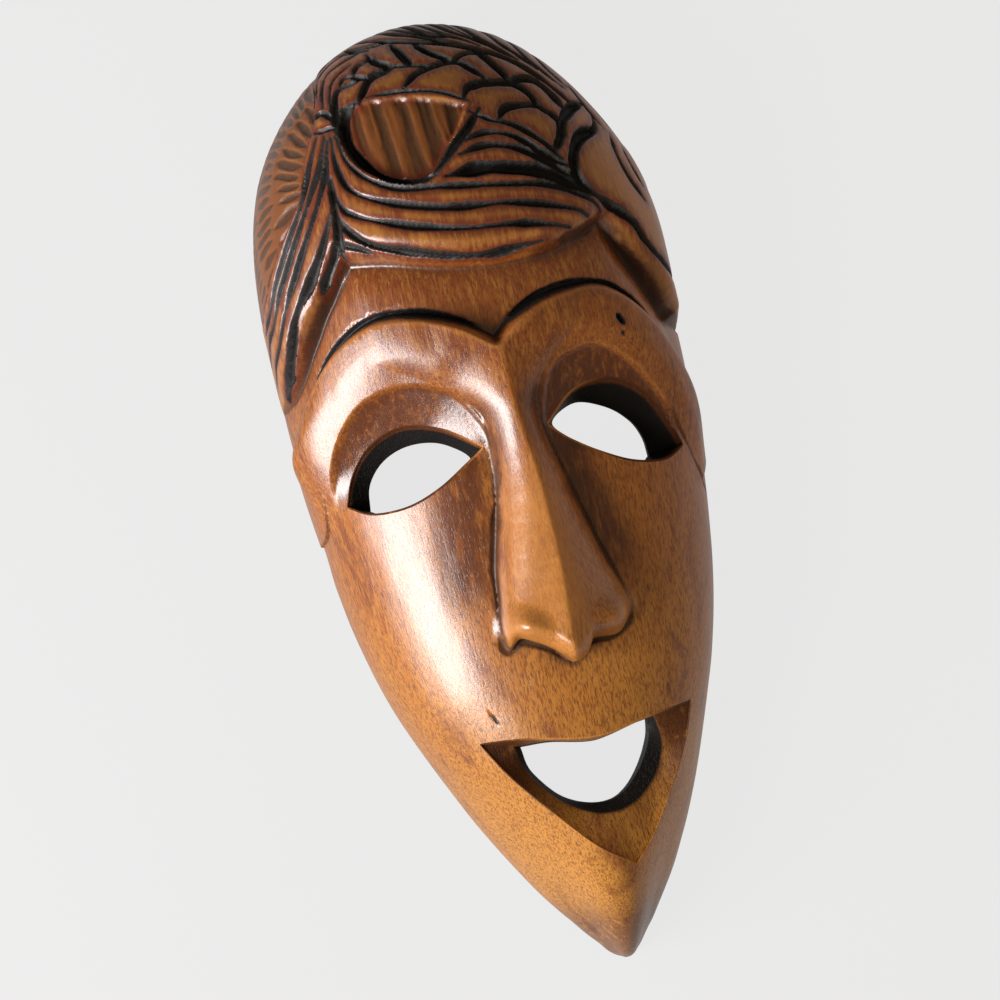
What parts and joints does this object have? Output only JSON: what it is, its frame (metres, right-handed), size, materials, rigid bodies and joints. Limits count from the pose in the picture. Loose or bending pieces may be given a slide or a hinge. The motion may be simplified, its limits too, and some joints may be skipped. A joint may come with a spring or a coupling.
{
  "type": "fish mask",
  "caption": "Carved hardwood wall mask: a long face with open eyes and mouth under a fish curled over the crown, hollow behind with a flat rim.",
  "frame": {"origin": "under the middle of the mask's plan, on the plane of the flat back rim", "axes": "+X to the viewer's right, +Y from the chin to the crown, +Z out of the face; the mask lies face up on its rim"},
  "size_m": [0.1709, 0.4002, 0.0989],
  "materials": {
    "carved_wood": "oiled and lightly varnished hardwood, dark stain in the grooves"
  },
  "bodies": {
    "root": {"carved_mask": "carved_wood"}
  },
  "joints": []
}
